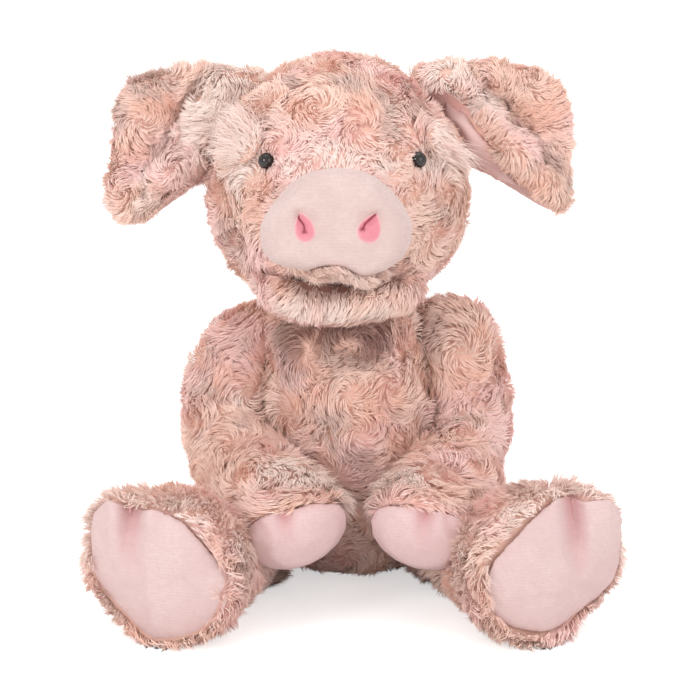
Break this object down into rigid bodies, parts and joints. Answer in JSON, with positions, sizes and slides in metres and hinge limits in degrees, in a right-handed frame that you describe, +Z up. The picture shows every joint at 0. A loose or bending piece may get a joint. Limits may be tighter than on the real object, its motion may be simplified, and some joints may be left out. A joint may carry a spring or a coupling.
{
  "type": "plush pig",
  "caption": "Sitting plush pig with a broad velour snout, floppy folded ears, a curly tail, and velour hooves and soles with a cleft between the toes.",
  "frame": {"origin": "middle of the flat seat under the torso, on the surface that the pig sits on", "axes": "+Z up, -Y the way the face and feet point, +X toward the pig's left side"},
  "size_m": [0.281, 0.2565, 0.2955],
  "materials": {
    "rose_plush": "long mottled pile in swirls",
    "pale_velour": "short pile",
    "long_pale_pile": "long straight pile",
    "pink_embroidery": "velour drawn in by thread",
    "black_plastic": "polished",
    "white_nylon": "moulded",
    "polyester_fibre": "loose fibre",
    "woven_lining": "plain weave",
    "pink_thread": "twisted thread"
  },
  "bodies": {
    "torso": {"torso_skin": "rose_plush", "torso_filling": "polyester_fibre", "seat_bean_pouch": "woven_lining"},
    "neck": {"neck_filling": "polyester_fibre"},
    "head": {"head_skin": "rose_plush", "head_filling": "polyester_fibre", "snout": "pale_velour", "snout_filling": "polyester_fibre", "right_nostril": "pink_embroidery", "left_nostril": "pink_embroidery", "lower_jaw": "rose_plush", "jaw_filling": "polyester_fibre", "right_eye": "black_plastic", "left_eye": "black_plastic", "right_eye_washer": "white_nylon", "left_eye_washer": "white_nylon", "right_brow": "long_pale_pile", "left_brow": "long_pale_pile"},
    "right_ear": {"right_ear": "rose_plush", "right_ear_lining": "pale_velour"},
    "left_ear": {"left_ear": "rose_plush", "left_ear_lining": "pale_velour"},
    "right_arm": {"right_arm_skin": "rose_plush", "right_arm_filling": "polyester_fibre", "right_paw": "pale_velour", "right_paw_stitch": "pink_thread"},
    "left_arm": {"left_arm_skin": "rose_plush", "left_arm_filling": "polyester_fibre", "left_paw": "pale_velour", "left_paw_stitch": "pink_thread"},
    "right_leg": {"right_leg_skin": "rose_plush", "right_leg_filling": "polyester_fibre", "right_sole": "pale_velour", "right_sole_stitch": "pink_thread"},
    "left_leg": {"left_leg_skin": "rose_plush", "left_leg_filling": "polyester_fibre", "left_sole": "pale_velour", "left_sole_stitch": "pink_thread"},
    "tail": {"tail": "rose_plush"}
  },
  "joints": [
    {"name": "head_turn", "type": "hinge", "parent": "torso", "child": "neck", "pos_m": [-0.005, -0.012, 0.128], "axis": [0, 0, 1], "range_deg": [-25, 25], "stiffness_Nm_per_rad": 0.8},
    {"name": "head_nod", "type": "hinge", "parent": "neck", "child": "head", "pos_m": [-0.005, -0.012, 0.128], "axis": [1, 0, 0], "range_deg": [-12, 8], "stiffness_Nm_per_rad": 2},
    {"name": "right_ear_flap", "type": "hinge", "parent": "head", "child": "right_ear", "pos_m": [-0.06254, -0.016, 0.2561], "axis": [0.5185, 0, 0.8551], "range_deg": [-20, 30], "stiffness_Nm_per_rad": 0.15},
    {"name": "left_ear_flap", "type": "hinge", "parent": "head", "child": "left_ear", "pos_m": [0.04554, -0.016, 0.2583], "axis": [0.544, 0, -0.8391], "range_deg": [-20, 30], "stiffness_Nm_per_rad": 0.15},
    {"name": "right_arm_swing", "type": "hinge", "parent": "torso", "child": "right_arm", "pos_m": [-0.063, 0, 0.13], "axis": [-1, 0, 0], "range_deg": [0, 35], "stiffness_Nm_per_rad": 0.5},
    {"name": "left_arm_swing", "type": "hinge", "parent": "torso", "child": "left_arm", "pos_m": [0.058, 0, 0.13], "axis": [-1, 0, 0], "range_deg": [0, 35], "stiffness_Nm_per_rad": 0.5},
    {"name": "right_leg_splay", "type": "hinge", "parent": "torso", "child": "right_leg", "pos_m": [-0.048, -0.008, 0], "axis": [0, 0, -1], "range_deg": [0, 25], "stiffness_Nm_per_rad": 0.5},
    {"name": "left_leg_splay", "type": "hinge", "parent": "torso", "child": "left_leg", "pos_m": [0.046, -0.008, 0], "axis": [0, 0, 1], "range_deg": [0, 25], "stiffness_Nm_per_rad": 0.5},
    {"name": "tail_wag", "type": "hinge", "parent": "torso", "child": "tail", "pos_m": [0, 0.056, 0.048], "axis": [0, 0, 1], "range_deg": [-15, 15], "stiffness_Nm_per_rad": 0.02}
  ]
}
